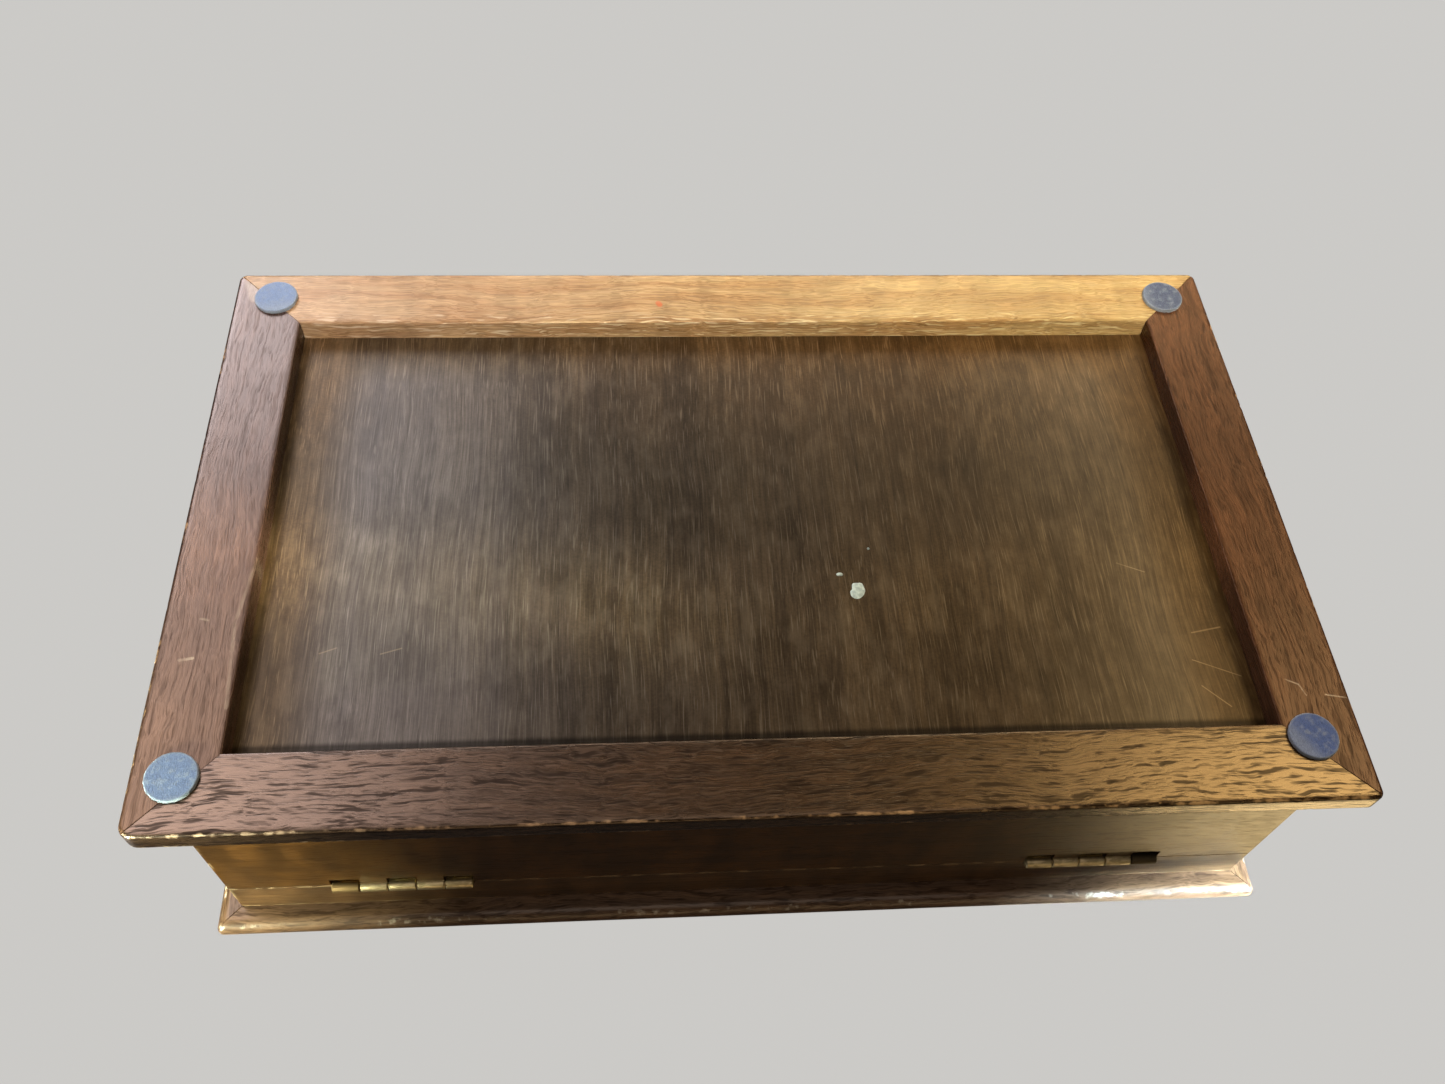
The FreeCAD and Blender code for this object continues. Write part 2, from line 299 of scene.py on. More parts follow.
def plywood(name, seed, tones, opening, scratches=()):
    """Thin plywood with its face grain from front to back.

    tones are the dark and the light of its bands and the colour of its flecks. It is polished by
    handling except near the edges of its opening, whose half sizes are given. It is warmer near those
    edges, and brighter along the left one as painted light. It is cooler at the left, warmer at the
    right, brighter towards the front and darker towards the back, partly as painted light and shade.
    A painted shadow lies along the back. scratches are (start, end, width).
    """
    shader = Shader(name)
    where = shader.place()
    x, y, z = shader.axes(where)
    along = along_grain(shader, y, x, z, seed)
    bent = shader.vector("ADD", along, shader.sway(along, (0.02, 0.03, 0.03), 4.0))
    band = shader.ease(shader.noise(bent, (0.008, 0.22, 0.22), detail=3.0), 0.3, 0.7)
    stripe = shader.noise(bent, (0.012, 1.1, 1.1), detail=2.0)
    fibre = shader.noise(bent, (0.10, 3.0, 3.0), detail=2.0)
    fleck = shader.ease(shader.noise(bent, (0.10, 2.6, 2.6), detail=1.0), 0.58, 0.72)
    grit = shader.noise(where, (1.5, 1.5, 1.5), detail=2.0)
    blotch = shader.noise(where, (0.055, 0.055, 0.055), detail=4.0, roughness=0.6)
    patch = shader.ease(shader.noise(along, (0.12, 0.24, 0.24), detail=3.0), 0.45, 0.73)

    dark, light, pale = tones
    base = shader.mix(band, dark, light)
    base = shader.shaded(base, shader.ease(stripe, 0.3, 0.7, 0.80, 1.20))
    base = shader.shaded(base, shader.ease(fibre, 0.25, 0.75, 0.82, 1.18))
    base = shader.shaded(base, shader.ease(grit, 0.3, 0.7, 0.86, 1.14))
    base = shader.shaded(base, shader.ease(blotch, 0.35, 0.65, 0.84, 1.16))
    base = shader.mix(shader.times(patch, 0.22), base, pale)
    base = shader.mix(shader.times(fleck, 0.5), base, pale)
    # Cooler at the left and warmer at the right: partly the panel's own colour, partly painted light.
    side = shader.ease(x, -80.0, 90.0)
    base = shader.vector("MULTIPLY", base, shader.mix(side, PLY_LEFT_HUE_AND_COOL_LIGHT, PLY_RIGHT_HUE_AND_WARM_LIGHT))
    # Partly painted light and shade: brighter towards the front, darker towards the back.
    hue_and_light_front_to_back = shader.mix(shader.ease(y, -52.0, -12.0), PLY_FRONT_HUE_AND_LIGHT, PLY_BACK_HUE_AND_SHADE)
    base = shader.vector("MULTIPLY", base, hue_and_light_front_to_back)
    if scratches:
        marks = most(shader, [scratch(shader, where, *mark) for mark in scratches])
        mark = shader.times(marks, shader.ease(blotch, 0.4, 0.6, 0.35, 0.8))
        base = shader.mix(mark, base, PLY_SCRATCH)

    half_x, half_y = opening
    from_side = shader.math("SUBTRACT", half_x, shader.math("ABSOLUTE", x))
    from_front = shader.plus(y, half_y)
    from_back = shader.math("SUBTRACT", half_y, y)
    inside = shader.times(shader.ease(from_side, 3.0, 24.0), shader.ease(from_front, 2.0, 20.0))
    edge_hue = shader.mix(inside, PLY_EDGE_HUE, PLAIN)
    # Warmer near the sides and the front, and much brighter along the left edge as painted light.
    edge_warmth_and_left_light = shader.mix(side, PLY_LEFT_EDGE_LIGHT, PLY_EDGE_HUE)
    edge_warmth_and_left_light = shader.mix(shader.ease(from_side, 4.0, 20.0), edge_warmth_and_left_light, edge_hue)
    base = shader.vector("MULTIPLY", base, edge_warmth_and_left_light)
    # Painted shadow along the back edge of the opening, which also dims the reflections there.
    shadow = shader.ease(from_back, 3.6, 5.2, 0.3, 1.0)
    base = shader.shaded(base, shadow)

    polish = shader.ease(shader.math("ABSOLUTE", shader.plus(x, -10.0)), 40.0, 105.0, 0.20, 1.0)
    polish = shader.times(polish, shader.times(shader.ease(inside, 0.0, 1.0, 0.4, 1.0), shadow))
    sheen = shader.times(shader.ease(stripe, 0.3, 0.7, 0.7, 1.0), shader.ease(fibre, 0.25, 0.75, 0.7, 1.0))
    sheen = shader.times(shader.times(sheen, polish), shader.ease(blotch, 0.35, 0.65, 0.74, 1.0))
    gleam = shader.vector("MULTIPLY", shader.mix(side, PLY_LEFT_GLEAM, PLY_RIGHT_GLEAM), edge_hue)
    rough = shader.ease(blotch, 0.3, 0.7, 0.38, 0.48)
    relief = shader.plus(shader.times(fibre, 0.6), shader.times(fleck, 0.3))
    return lacquered(shader, base, rough, relief, 0.8, shader.shaded(gleam, sheen))


# The pale colour of faded and rubbed felt, also used as painted light on the rim.
FADED_FELT_AND_RIM_LIGHT = (0.30, 0.36, 0.40)


def felt(name, centre, dye, fade, seed):
    """Dyed felt, matted, and paler where it has rubbed, towards where fade points, and at its rim as
    painted light.
    """
    shader = Shader(name)
    where = shader.place()
    x, y, z = shader.axes(where)
    shifted = shader.joined(shader.plus(x, 23.0 * seed), y, z)
    tuft = shader.noise(shifted, (0.5, 0.5, 0.5), detail=4.0, roughness=0.65)
    fibre = shader.noise(shifted, (5.0, 1.6, 5.0), detail=3.0, distortion=1.5)
    flat = shader.joined(x, y, 0.0)
    radius = shader.vector("DISTANCE", flat, (centre.x, centre.y, 0.0), output=1)
    # Painted light: paler towards the rim of the disc.
    rim = shader.ease(radius, 5.3, 6.2, 0.0, 0.6)
    rubbed = shader.times(shader.ease(tuft, 0.45, 0.70), 0.35)
    offset = shader.vector("SUBTRACT", flat, (centre.x, centre.y, 0.0))
    faded = shader.ease(shader.vector("DOT_PRODUCT", offset, (*fade, 0.0), output=1), 0.3, 2.5, 0.0, 0.35)
    rubbed = shader.math("MAXIMUM", rubbed, faded)
    base = shader.mix(shader.math("MAXIMUM", rubbed, rim), dye, FADED_FELT_AND_RIM_LIGHT)
    base = shader.shaded(base, shader.ease(fibre, 0.25, 0.75, 0.72, 1.28))
    normal = shader.bump(shader.plus(fibre, tuft), 0.12)
    return shader.finish(Base_Color=base, Roughness=0.9, Normal=normal, Sheen_Weight=0.35,
                         Sheen_Roughness=0.45, Specular_IOR_Level=0.3)


def metal(name, tone, tarnish, roughness, seed, dull_from=None):
    """Drawn metal with tarnish in blotches, and darker and rougher all over further out in X than
    dull_from.
    """
    shader = Shader(name)
    where = shader.place()
    x, y, z = shader.axes(where)
    shifted = shader.joined(shader.plus(x, 29.0 * seed), y, z)
    blotch = shader.ease(shader.noise(shifted, (0.35, 0.8, 0.8), detail=3.0), 0.42, 0.62, 0.0, 0.6)
    lines = shader.noise(shifted, (0.6, 9.0, 9.0), detail=2.0)
    if dull_from:
        beyond = shader.ease(shader.math("ABSOLUTE", x), dull_from, dull_from + 0.2)
        blotch = shader.math("MAXIMUM", blotch, shader.times(beyond, 1.6))
    base = shader.mix(shader.times(blotch, 0.6), tone, tarnish)
    base = shader.shaded(base, shader.ease(lines, 0.25, 0.75, 0.92, 1.08))
    rough = shader.ease(blotch, 0.0, 1.0, roughness, roughness + 0.22)
    normal = shader.bump(lines, 0.008)
    return shader.finish(Base_Color=base, Metallic=1.0, Roughness=rough, Normal=normal)


def paint(name, dark, light):
    """Dried emulsion paint."""
    shader = Shader(name)
    where = shader.place()
    mottle = shader.noise(where, (0.9, 0.9, 0.9), detail=3.0)
    base = shader.mix(shader.ease(mottle, 0.35, 0.65), dark, light)
    normal = shader.bump(mottle, 0.06)
    return shader.finish(Base_Color=base, Roughness=0.45, Normal=normal)


def dress(piece, material):
    """Gives a piece that one material."""
    piece.data.materials.clear()
    piece.data.materials.append(material)


# Meshes -------------------------------------------------------------------------------------------------


SHARP = math.radians(38)  # an edge that turns more than this looks sharp
ARC_STEP = 0.35  # how far apart the points on a rounding are
CORNER_STEPS = 5  # in the half of a corner's rounding that belongs to one rail
MITRE_CHAMFER = 0.16
FLATNESS = 0.03  # how far a planed face is from flat


def mesh_piece(name, points, faces, wear=None):
    """A piece with those points, in millimetres, smooth but for its sharp edges."""
    mesh = bpy.data.meshes.new(name)
    mesh.from_pydata([Vector(p) * MM for p in points], [], faces)
    mesh.validate()
    if wear is not None:
        attribute = mesh.attributes.new("wear", "FLOAT", "POINT")
        attribute.data.foreach_set("value", wear)
    mesh.polygons.foreach_set("use_smooth", [True] * len(mesh.polygons))
    mesh.set_sharp_from_angle(angle=SHARP)
    mesh.update()
    piece = bpy.data.objects.new(name, mesh)
    bpy.context.scene.collection.objects.link(piece)
    return piece


def outline(corners, step):
    """A closed outline through those (across, up, radius) corners.

    Gives (across, up) points no further apart than step, each with its outward direction.
    """
    points = []
    count = len(corners)
    for i, (across, up, radius) in enumerate(corners):
        here = Vector((across, up))
        before = (Vector(corners[i - 1][:2]) - here).normalized()
        after = (Vector(corners[(i + 1) % count][:2]) - here).normalized()
        half_angle = before.angle(after) / 2
        inside = (before + after).normalized()
        if not radius:
            points.append((here, -inside))
            continue
        centre = here + inside * radius / math.sin(half_angle)
        reach = radius / math.tan(half_angle)
        first = (here + before * reach - centre).normalized()
        last = (here + after * reach - centre).normalized()
        pieces = max(4, round(radius * first.angle(last) / ARC_STEP))
        for k in range(pieces + 1):
            turn = first.slerp(last, k / pieces)
            points.append((centre + turn * radius, turn))
    spaced = []
    for (here, out), (following, _) in zip(points, points[1:] + points[:1]):
        spaced.append((here, out))
        gap = following - here
        extra = math.ceil(gap.length / step) - 1
        normal = Vector((gap.y, -gap.x)).normalized()
        for k in range(1, extra + 1):
            spaced.append((here + gap * k / (extra + 1), normal))
    return spaced


def corner_run(half, radius):
    """Where the outer boundary goes from a straight run to the mitre: (along, inward, turn) points."""
    turns = [math.radians(45) * k / CORNER_STEPS for k in range(CORNER_STEPS + 1)]
    return [(half - radius + radius * math.sin(t), radius * (1 - math.cos(t)), t) for t in turns]


def stations(half, radii, width, step):
    """The cross-sections of a mitred rail, from one end to the other, no more than about step apart.

    Each is ((along, inward) on the outer boundary, (along, inward) on the inner one, turn, end), where
    turn is how far the outer boundary has turned and end is 1 at the mitre itself. One more section
    lies just inside each mitre, so that the mitre can have a chamfer.
    """
    left = [(-along, inward, -turn) for along, inward, turn in reversed(corner_run(half, radii[0]))]
    right = corner_run(half, radii[1])
    straight = right[0][0] - left[-1][0]
    count = round(straight / step)
    middle = [(left[-1][0] + straight * k / count, 0.0, 0.0) for k in range(1, count)]
    outer = left + middle + right
    reach = outer[-1][0] - outer[0][0]
    rings = []
    for along, inward, turn in outer:
        share = (along - outer[0][0]) / reach
        rings.append(((along, inward), ((half - width) * (2 * share - 1), width), turn, 0))
    first, last = rings[0], rings[-1]
    for ring, other, place in ((first, rings[1], 1), (last, rings[-2], len(rings))):
        share = min(0.9, MITRE_CHAMFER / (Vector(ring[0]) - Vector(other[0])).length)
        outer_point = tuple(Vector(ring[0]).lerp(Vector(other[0]), share))
        inner_point = tuple(Vector(ring[1]).lerp(Vector(other[1]), share * 0.5))
        rings.insert(place, (outer_point, inner_point, ring[2], 0))
    rings[0] = (*first[:3], 1)
    rings[-1] = (*last[:3], 1)
    return rings


def wear_at(place, edge, seed, rate):
    """How far the surface is worn away at a place, and how bare it looks there.

    edge goes from 0 away from a worn edge to 1 on it. A worn edge is rubbed in long patches, and has
    small nicks.
    """
    here = place + Vector((53.0 * seed, 0, 0))
    patch = noise.noise(here * 0.045) * 0.6 + noise.noise(here * 0.16) * 0.4
    nick = max(0.0, noise.noise(here * 0.55 + Vector((0, 0, 40))) - 0.28)
    rub = max(0.0, edge - 0.35) / 0.65
    depth = rub * (0.03 + 0.09 * max(0.0, patch + 0.2)) + rub * nick * 0.9
    bare = rub * min(1.0, max(0.0, 0.25 + patch * 1.6) * rate + nick * 3.0)
    return depth, bare


def rail(name, side, half, offset, width, corners, radii, seed, worn_corners, rate, step=1.1, reach=1.5):
    """A mitred rail of a frame, whose outer face lies that offset from the middle of the box.

    half is half its length, and radii are those of the frame's corners at its two ends. corners is its
    section as (distance from the outer face, height, radius). worn_corners are the ones whose edges
    wear, rate is how much of such an edge is bare, and reach is how far the wear goes from it.
    """
    out = Vector((*OUTWARD[side], 0))
    along_axis = Vector((-out.y, out.x, 0))
    section = outline(corners, step)
    exposed = [Vector(corners[i][:2]) for i in worn_corners]
    rings = stations(half, radii, width, step)
    points, wear = [], []
    for outer, inner, turn, end in rings:
        outer, inner = Vector(outer), Vector(inner)
        for here, normal in section:
            flat = outer.lerp(inner, here.x / width)
            place = along_axis * flat.x + out * (offset - flat.y) + Vector((0, 0, here.y))
            if normal.x < 0:
                sideways = (along_axis * math.sin(turn) + out * math.cos(turn)) * -normal.x
            else:
                sideways = out * -normal.x
            facing = sideways + Vector((0, 0, normal.y))
            edge = max(max(0.0, 1 - (here - corner).length / reach) for corner in exposed)
            depth, bare = wear_at(place, edge, seed, rate)
            depth += FLATNESS * (0.5 + noise.noise(place * 0.07 + Vector((0, 9 * seed, 0))))
            depth += MITRE_CHAMFER * end
            points.append(place - facing * max(0.0, depth))
            wear.append(bare)
    ring = len(section)
    faces = []
    for i in range(len(rings) - 1):
        for k in range(ring):
            a, b = i * ring + k, i * ring + (k + 1) % ring
            faces.append((a, b, b + ring, a + ring))
    faces.append(tuple(range(ring))[::-1])
    faces.append(tuple(range((len(rings) - 1) * ring, len(rings) * ring)))
    return mesh_piece(name, points, faces, wear)


def disc_faces(spokes, rings):
    """Faces for a middle point, then that many rings of points round it, the last of them closed."""
    faces = [(0, 1 + (k + 1) % spokes, 1 + k) for k in range(spokes)]
    for ring in range(rings - 1):
        for k in range(spokes):
            a, b = 1 + ring * spokes + k, 1 + ring * spokes + (k + 1) % spokes
            faces.append((a, b, b + spokes, a + spokes))
    faces.append(tuple(1 + (rings - 1) * spokes + k for k in range(spokes)))
    return faces


def felt_pad(name, centre, radius, thickness, seed):
    """A punched disc of felt: a fuzzy rounded rim, and faces that are a little uneven."""
    spokes, steps, edge_steps = 96, 12, 5
    edge, face_up, frayed = 0.34, 0.02, 0.8
    profile = [(radius * k / steps, face_up) for k in range(1, steps)]
    for k in range(edge_steps + 1):
        turn = math.radians(90) * k / edge_steps
        profile.append((radius - edge + edge * math.sin(turn), edge * (1 - math.cos(turn)) + face_up))
    profile += [(radius, thickness * 0.5), (radius, thickness * 0.8), (radius - 0.05, thickness)]
    points = [(centre.x, centre.y, 2 * face_up)]
    for reach, up in profile:
        for k in range(spokes):
            angle = 2 * math.pi * k / spokes
            direction = Vector((math.cos(angle), math.sin(angle), 0))
            spot = direction * reach
            rough = noise.noise(spot * 1.4 + Vector((9.0 * seed, 0, up)))
            fray = max(0.0, reach - radius + frayed) / frayed
            inset = fray * (0.10 + 0.10 * rough + 0.06 * noise.noise(spot * 6))
            lift = 0.05 * (0.5 + noise.noise(spot * 0.6 + Vector((0, 5.0 * seed, 0)))) if up < 0.2 else 0.0
            points.append((centre.x + spot.x - direction.x * inset,
                           centre.y + spot.y - direction.y * inset, max(0.0, up + lift)))
    return mesh_piece(name, points, disc_faces(spokes, len(profile)))


def paint_drop(name, centre, under, radii, notch, seed):
    """A thin drop of paint on the underside of the panel, with a notch in its left side."""
    spokes, rings, thickness, raggedness = 28, 6, 0.32, 0.22
    points = [(centre[0], centre[1], under - thickness)]
    for ring in range(1, rings + 1):
        share = ring / rings
        for k in range(spokes):
            angle = 2 * math.pi * k / spokes
            here = Vector((math.cos(angle) * 1.6, math.sin(angle) * 1.6, seed))
            ragged = 1 + raggedness * noise.noise(here)
            ragged *= 1 - notch * max(0.0, -math.cos(angle - 0.3)) ** 2
            points.append((centre[0] + radii[0] * share * ragged * math.cos(angle),
                           centre[1] + radii[1] * share * ragged * math.sin(angle),
                           under - thickness * (1 - share ** 3)))
    return mesh_piece(name, points, disc_faces(spokes, rings))


# Base frame ---------------------------------------------------------------------------------------------

BASE_LOW, BASE_HIGH = box_mm("base_rail_back")
HALF_X = box_mm("base_rail_right")[1].x
HALF_Y = BASE_HIGH.y
BASE_RAIL = BASE_HIGH.y - BASE_LOW.y
CORNER_R = 2.0
WORN_CORNER_R = 3.5
BASE_SECTION = (
    # (distance from the outer face, height, radius)
    (0.0, BASE_LOW.z, 0.9),
    (BASE_RAIL, BASE_LOW.z, 0.6),
    (BASE_RAIL, BASE_HIGH.z, 0),
    (0.0, BASE_HIGH.z, 0.6),
)
BASE_TONES = {
    # side: the dark and the light of its bands, and its pores
    # The front rail's light golden tones are partly its wood and partly a painted sheen from its grain.
    "back": ((0.020, 0.010, 0.004), (0.038, 0.021, 0.010), (0.005, 0.002, 0.001)),
    "front": ((0.300, 0.160, 0.065), (0.400, 0.250, 0.115), (0.170, 0.085, 0.035)),
    "left": ((0.046, 0.027, 0.021), (0.070, 0.042, 0.032), (0.024, 0.013, 0.010)),
    "right": ((0.040, 0.018, 0.009), (0.065, 0.030, 0.015), (0.016, 0.007, 0.003)),
}
BASE_WOOD = {
    # hues partly paint the tint of the light that falls on each end of a rail, on its colour and on its
    # reflections.
    "back": {"streaks": (0.10, 1.15), "streak_depth": 0.85, "shine": 1.0, "tint": (0.9, 0.76, 0.62),
             "hues": ((1.0, 1.0, 1.12), (1.05, 0.96, 0.72))},
    "front": {"streaks": (0.07, 1.3), "streak_depth": 0.35, "fine_depth": 0.3, "bands": (0.025, 0.28),
              "tint": (1.0, 0.80, 0.52), "worn": (0.62, 0.47, 0.28), "inner": BASE_RAIL - HALF_Y,
              "hues": ((0.80, 0.88, 1.10), (0.85, 0.97, 0.84))},
    "left": {"streaks": (0.03, 1.6), "streak_depth": 0.3, "fine_depth": 0.35,
             "tint": (1.0, 0.92, 0.90), "hues": ((1.04, 1.06, 1.10), (0.98, 0.85, 0.72))},
    "right": {"streaks": (0.06, 1.1), "streak_depth": 0.5, "fine_depth": 0.5, "shine": 0.26,
              "tint": (1.0, 0.72, 0.50), "hues": ((1.15, 1.00, 0.80), (0.93, 0.91, 0.95))},
}
RED_PAINT = (0.42, 0.09, 0.03)
BRIGHT_SCRATCH = (0.34, 0.30, 0.24)
FAINT_SCRATCH = (0.13, 0.10, 0.08)
NICK = (0.20, 0.17, 0.14)
# A pale patch that is a painted reflection.
PAINTED_CORNER_GLINT = (0.24, 0.21, 0.18)
BASE_MARKS = {
    # side: (start, end, width, tone) of each mark on it
    "back": (),
    "front": (
        ((-22.2, -75.3), (-21.8, -74.6), 1.1, RED_PAINT),
    ),
    "left": (
        ((-140, 43), (-137, 42.5), 0.5, BRIGHT_SCRATCH),
        ((-137, 31.5), (-135, 32), 0.4, NICK),
        ((-126, 14), (-128.6, 33), 0.6, FAINT_SCRATCH),
        ((-128.6, 33), (-127, 56), 0.6, FAINT_SCRATCH),
        # A painted reflection at the left stile's far corner.
        ((-142.5, -85), (-140, -78), 2.6, PAINTED_CORNER_GLINT),
    ),
    "right": (
        ((131, 55.5), (134, 57), 0.25, BRIGHT_SCRATCH),
        ((134, 57), (135, 60), 0.25, BRIGHT_SCRATCH),
        ((140, 60), (145, 61), 0.25, BRIGHT_SCRATCH),
    ),
}
BASE_RADII = {
    # side: the radii of the corners at its two ends. The one between the back and the left is worn.
    "back": (CORNER_R, WORN_CORNER_R),
    "front": (CORNER_R, CORNER_R),
    "left": (WORN_CORNER_R, CORNER_R),
    "right": (CORNER_R, CORNER_R),
}
BASE_BARE = {"back": 1.9, "front": 1.0, "left": 1.0, "right": 1.0}  # how much of its edges is bare
BASE_WORN = (0, 3)  # the two outer corners of the section
for seed, side in enumerate(OUTWARD, start=1):
    half, offset = (HALF_X, HALF_Y) if GRAIN[side] == "X" else (HALF_Y, HALF_X)
    piece = rail(f"base_frame_{side}", side, half, offset, BASE_RAIL, BASE_SECTION, BASE_RADII[side],
                 seed, BASE_WORN, BASE_BARE[side])
    dress(piece, wood(f"base_wood_{side}", GRAIN[side], BASE_TONES[side], seed, roughness=0.26,
                      marks=BASE_MARKS[side], **BASE_WOOD[side]))
    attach(piece, "box")
    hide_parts(f"base_rail_{side}")

# Lid frame ----------------------------------------------------------------------------------------------

LID_LOW, LID_HIGH = box_mm("lid_rail_back")
LID_HALF_X = box_mm("lid_rail_right")[1].x
LID_HALF_Y = LID_HIGH.y
LID_RAIL = LID_HIGH.y - LID_LOW.y
LID_PANEL_LOW, LID_PANEL_HIGH = box_mm("lid_panel")
GROOVE_PLAY = 0.3  # between the panel's edge and the bottom of its groove
GROOVE = LID_PANEL_HIGH.y - (LID_HALF_Y - LID_RAIL) + GROOVE_PLAY
LID_CORNER_R = 1.5
BULLNOSE = (LID_HIGH.z - LID_LOW.z) / 2 * 0.98  # short of half, so that the two roundings stay apart
LID_SECTION = (
    # (distance from the outer face, height, radius), with the groove for the panel
    (0.0, LID_LOW.z, BULLNOSE),
    (LID_RAIL, LID_LOW.z, 0.4),
    (LID_RAIL, LID_PANEL_LOW.z, 0),
    (LID_RAIL - GROOVE, LID_PANEL_LOW.z, 0),
    (LID_RAIL - GROOVE, LID_PANEL_HIGH.z, 0),
    (LID_RAIL, LID_PANEL_HIGH.z, 0),
    (LID_RAIL, LID_HIGH.z, 0.8),
    (0.0, LID_HIGH.z, BULLNOSE),
)
LID_TONES = ((0.080, 0.044, 0.024), (0.135, 0.078, 0.042), (0.026, 0.013, 0.008))
LID_BARE = 1.2
LID_WORN = (0, 7)  # the two outer corners of the section
for seed, side in enumerate(OUTWARD, start=11):
    half, offset = (LID_HALF_X, LID_HALF_Y) if GRAIN[side] == "X" else (LID_HALF_Y, LID_HALF_X)
    piece = rail(f"lid_frame_{side}", side, half, offset, LID_RAIL, LID_SECTION,
                 (LID_CORNER_R, LID_CORNER_R), seed, LID_WORN, LID_BARE, step=1.4, reach=3.4)
    # The lid's pale worn colour is partly real wear and partly a painted highlight along the bullnose.
    dress(piece, wood(f"lid_wood_{side}", GRAIN[side], LID_TONES, seed, roughness=0.3,
                      worn=(0.46, 0.41, 0.34)))
    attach(piece, "lid")
    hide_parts(f"lid_rail_{side}")

# Felt pads ----------------------------------------------------------------------------------------------

DYES = {
    # corner: (dye, which way it fades)
    # The dyes differ partly as the felt's own colour and partly as painted light and shade: brightest at
    # the front left, darkest at the front right.
    "back_left": ((0.098, 0.150, 0.290), (0, 0)),
    "back_right": ((0.056, 0.100, 0.275), (-0.5, 0.3)),
    "front_left": ((0.150, 0.230, 0.410), (0.1, 0.5)),
    "front_right": ((0.045, 0.065, 0.115), (-0.3, 0.0)),
}
PAD_INSET = 0.2  # how much smaller a disc is than its packed pad, all round
for seed, (corner, (dye, fade)) in enumerate(DYES.items(), start=1):
    low, high = box_mm(f"felt_pad_{corner}")
    centre = (low + high) / 2
    radius = (high.x - low.x) / 2 - PAD_INSET
    piece = felt_pad(f"felt_{corner}", centre, radius, high.z - low.z, seed)
    dress(piece, felt(f"felt_blue_{corner}", centre, dye, fade, seed))
    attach(piece, "box")
    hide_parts(f"felt_pad_{corner}")

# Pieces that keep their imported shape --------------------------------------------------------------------

BOARD_TONES = {
    # The walls' very dark tones partly paint the shade over them; the rim's lighter ones partly paint
    # light.
    "wall": ((0.036, 0.0148, 0.003), (0.053, 0.022, 0.0045), (0.014, 0.0055, 0.0015)),
    "lid_rim": ((0.048, 0.024, 0.010), (0.072, 0.037, 0.015), (0.022, 0.010, 0.005)),
}
for seed, side in enumerate(OUTWARD, start=21):
    for prefix, tones in BOARD_TONES.items():
        node = f"{prefix}_{side}"
        board_wood = wood(f"{node}_wood", GRAIN[side], tones, seed, board=node, streaks=(0.05, 1.8),
                          streak_depth=0.35, figure=0.3, roughness=0.33, tint=(0.95, 0.84, 0.52))
        dress(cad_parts[node], board_wood)

BASE_OPENING = (HALF_X - BASE_RAIL, HALF_Y - BASE_RAIL)
LID_OPENING = (LID_HALF_X - LID_RAIL, LID_HALF_Y - LID_RAIL)
PANEL_SCRATCHES = (
    ((99, 16), (106, 19), 0.2),
    ((114, 38), (122, 36.5), 0.28),
    ((112, 46), (123.5, 51), 0.2),
    ((112.5, 53.5), (118.5, 59.5), 0.2),
    ((-109, 38.5), (-105, 37), 0.25),
    ((-94, 39), (-89, 37.5), 0.25),
)
PANEL_TONES = ((0.024, 0.016, 0.009), (0.037, 0.026, 0.015), (0.110, 0.092, 0.072))
LID_PANEL_TONES = ((0.100, 0.055, 0.030), (0.150, 0.085, 0.048), (0.20, 0.13, 0.08))
bottom_ply = plywood("bottom_panel_plywood", 1, PANEL_TONES, BASE_OPENING, PANEL_SCRATCHES)
dress(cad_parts["bottom_panel"], bottom_ply)
lid_ply = plywood("lid_panel_plywood", 2, LID_PANEL_TONES, LID_OPENING)
dress(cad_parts["lid_panel"], lid_ply)

HINGE_LOW, HINGE_HIGH = box_mm("hinge_leaf_upper_right")
KNUCKLES = 5
OUTER_KNUCKLE = HINGE_HIGH.x - (HINGE_HIGH.x - HINGE_LOW.x) / KNUCKLES  # where the last one begins
HINGE_BRASS = (0.60, 0.51, 0.31)
SCREW_BRASS = (0.70, 0.54, 0.30)
SCREW_TARNISH = (0.22, 0.16, 0.08)
HINGE_TARNISH = {"left": (0.20, 0.13, 0.06), "right": (0.07, 0.055, 0.035)}
for end, tarnish in HINGE_TARNISH.items():
    leaf_metal = metal(f"hinge_brass_{end}", HINGE_BRASS, tarnish, roughness=0.42, seed=1,
                       dull_from=OUTER_KNUCKLE)
    screw_metal = metal(f"screw_brass_{end}", SCREW_BRASS, SCREW_TARNISH, roughness=0.35, seed=2)
    for leaf in ("lower", "upper"):
        dress(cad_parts[f"hinge_leaf_{leaf}_{end}"], leaf_metal)
        dress(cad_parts[f"hinge_screws_{leaf}_{end}"], screw_metal)
    dress(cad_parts[f"hinge_pin_{end}"], leaf_metal)

BOARD_ARRIS = 0.08  # how much of a sharp edge is taken off
METAL_ARRIS = 0.06
SHARED_POINT = 0.002  # points closer than this are one
for node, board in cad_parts.items():
    if node.startswith(("wall", "lid_rim", "bottom_panel", "lid_panel")):
        width = BOARD_ARRIS
    elif node.startswith("hinge"):
        width = METAL_ARRIS
    else:
        continue
    weld = board.modifiers.new("weld", "WELD")
    weld.merge_threshold = SHARED_POINT * MM
    bevel = board.modifiers.new("bevel", "BEVEL")
    bevel.width = width * MM
    bevel.segments = 2
    bevel.limit_method = "ANGLE"
    bevel.angle_limit = math.radians(40)

